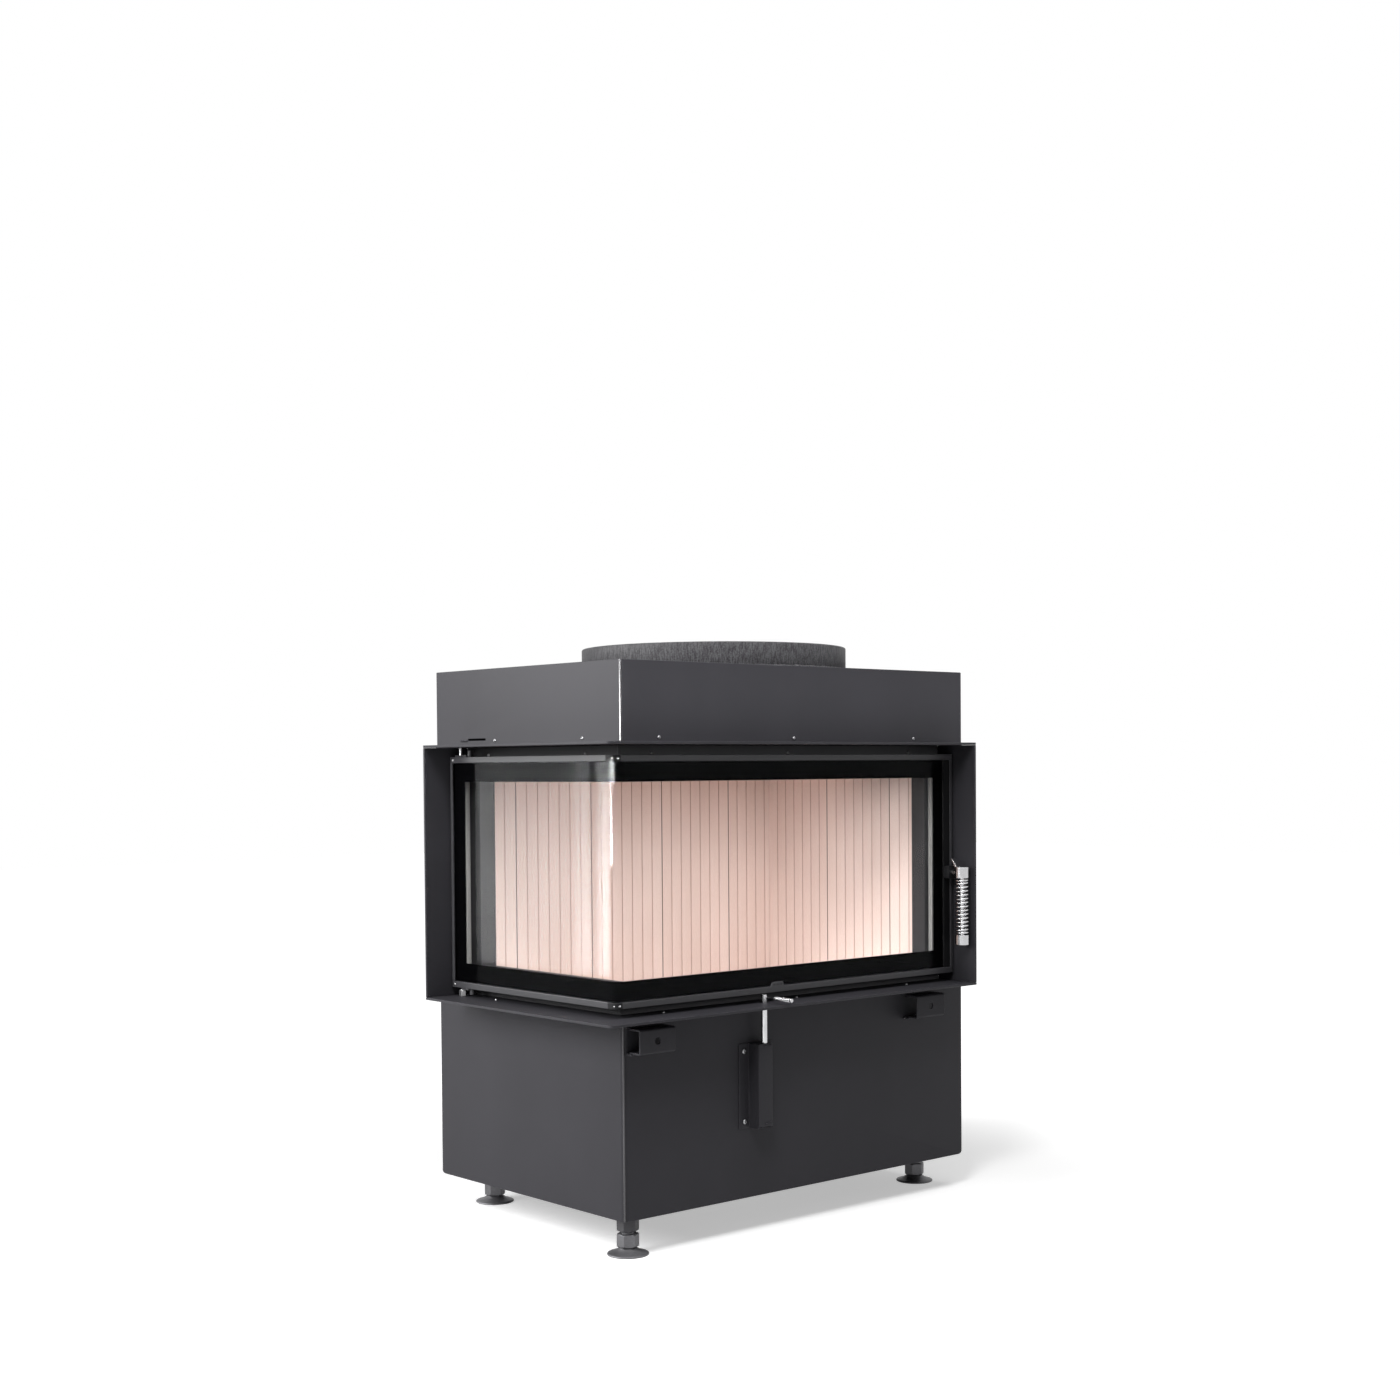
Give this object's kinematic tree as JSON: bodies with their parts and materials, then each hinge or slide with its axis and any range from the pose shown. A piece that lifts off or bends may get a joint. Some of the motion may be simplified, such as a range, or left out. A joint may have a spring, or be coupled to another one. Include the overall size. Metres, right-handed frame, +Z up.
{
  "type": "corner fireplace insert",
  "caption": "Corner fireplace insert of black painted steel with a bent glass door, grooved fireclay lining, coil handle, low round flue collar and levelling feet.",
  "frame": {"origin": "under the middle of the whole object, on the floor that the feet stand on", "axes": "+X along the long glass front, from its near corner to the handle; +Y from the front to the back; +Z up"},
  "size_m": [0.8464, 0.5824, 0.9464],
  "materials": {
    "black_paint": "satin heat-proof paint, near black with a cool grey cast",
    "grey_paint": "matt heat-proof paint, dark grey",
    "door_rail_paint": "satin mid grey paint on folded rails",
    "zinc_steel": "dull dark steel, zinc plated and dulled",
    "bright_steel": "bright stainless steel wire and turned caps",
    "fireclay": "matt pink-beige fireclay with fine vertical grooves",
    "glass": "clear bent glass ceramic with a printed black border",
    "rope": "grey glass fibre rope"
  },
  "bodies": {
    "body": {"air_box": "zinc_steel", "air_channel": "black_paint", "air_spigot": "zinc_steel", "baffle_slab": "fireclay", "base_casing": "black_paint", "door_surround": "grey_paint", "firebox_shell": "grey_paint", "flange_bottom": "black_paint", "flange_end_left": "black_paint", "flange_end_right": "black_paint", "flange_top": "black_paint", "flue_collar": "grey_paint", "foot_boss_front_left": "grey_paint", "foot_boss_front_right": "grey_paint", "foot_boss_rear_left": "grey_paint", "foot_boss_rear_right": "grey_paint", "front_bracket_1": "black_paint", "front_bracket_2": "black_paint", "hearth_slab": "fireclay", "hinge_bush_bottom": "bright_steel", "hinge_pin_top": "bright_steel", "hood_casing": "black_paint", "latch_keeper": "zinc_steel", "lining_back_1": "fireclay", "lining_back_2": "fireclay", "lining_back_3": "fireclay", "lining_back_4": "fireclay", "lining_back_5": "fireclay", "lining_right_1": "fireclay", "lining_right_2": "fireclay", "lining_right_3": "fireclay", "rear_jacket": "black_paint", "rope_seal": "rope", "smoke_deflector": "zinc_steel"},
    "door": {"door_corner_clip_bottom": "black_paint", "door_corner_clip_top": "black_paint", "door_edge_left": "door_rail_paint", "door_edge_right": "door_rail_paint", "door_frame": "black_paint", "door_glass": "glass", "door_rail_front_bottom": "door_rail_paint", "door_rail_front_top": "door_rail_paint", "door_rail_left_bottom": "door_rail_paint", "door_rail_left_top": "door_rail_paint", "handle_bracket": "black_paint", "hinge_lug_bottom": "door_rail_paint", "hinge_lug_top": "door_rail_paint"},
    "handle": {"handle_coil": "bright_steel", "handle_lever": "bright_steel"},
    "air_control": {"air_lever_coil": "bright_steel", "air_shaft": "bright_steel"},
    "air_damper": {"air_slide": "zinc_steel"},
    "foot_front_left": {"foot_pad_front_left": "zinc_steel", "foot_stud_front_left": "zinc_steel"},
    "foot_rear_left": {"foot_pad_rear_left": "zinc_steel", "foot_stud_rear_left": "zinc_steel"},
    "foot_front_right": {"foot_pad_front_right": "zinc_steel", "foot_stud_front_right": "zinc_steel"},
    "foot_rear_right": {"foot_pad_rear_right": "zinc_steel", "foot_stud_rear_right": "zinc_steel"}
  },
  "joints": [
    {"name": "door_hinge", "type": "hinge", "parent": "body", "child": "door", "pos_m": [-0.36618, 0.1888, 0.5737], "axis": [0, 0, -1], "range_deg": [0, 90]},
    {"name": "handle_pivot", "type": "hinge", "parent": "door", "child": "handle", "pos_m": [0.36133, -0.2602, 0.5595], "axis": [0, 1, 0], "range_deg": [0, 40]},
    {"name": "air_control_turn", "type": "hinge", "parent": "body", "child": "air_control", "pos_m": [-0.07518, -0.2272, 0.3], "axis": [0, 0, 1], "range_deg": [-15, 35]},
    {"name": "air_damper_slide", "type": "slide", "parent": "body", "child": "air_damper", "axis": [-1, 0, 0], "range_m": [-0.0077, 0.0176]},
    {"name": "foot_screw_front_left", "type": "slide", "parent": "body", "child": "foot_front_left", "axis": [0, 0, -1], "range_m": [-0.004, 0.02]},
    {"name": "foot_screw_rear_left", "type": "slide", "parent": "body", "child": "foot_rear_left", "axis": [0, 0, -1], "range_m": [-0.004, 0.02]},
    {"name": "foot_screw_front_right", "type": "slide", "parent": "body", "child": "foot_front_right", "axis": [0, 0, -1], "range_m": [-0.004, 0.02]},
    {"name": "foot_screw_rear_right", "type": "slide", "parent": "body", "child": "foot_rear_right", "axis": [0, 0, -1], "range_m": [-0.004, 0.02]}
  ],
  "couplings": [
    {"joint": "air_damper_slide", "follows": "air_control_turn", "m_per_rad": 0.0285}
  ]
}
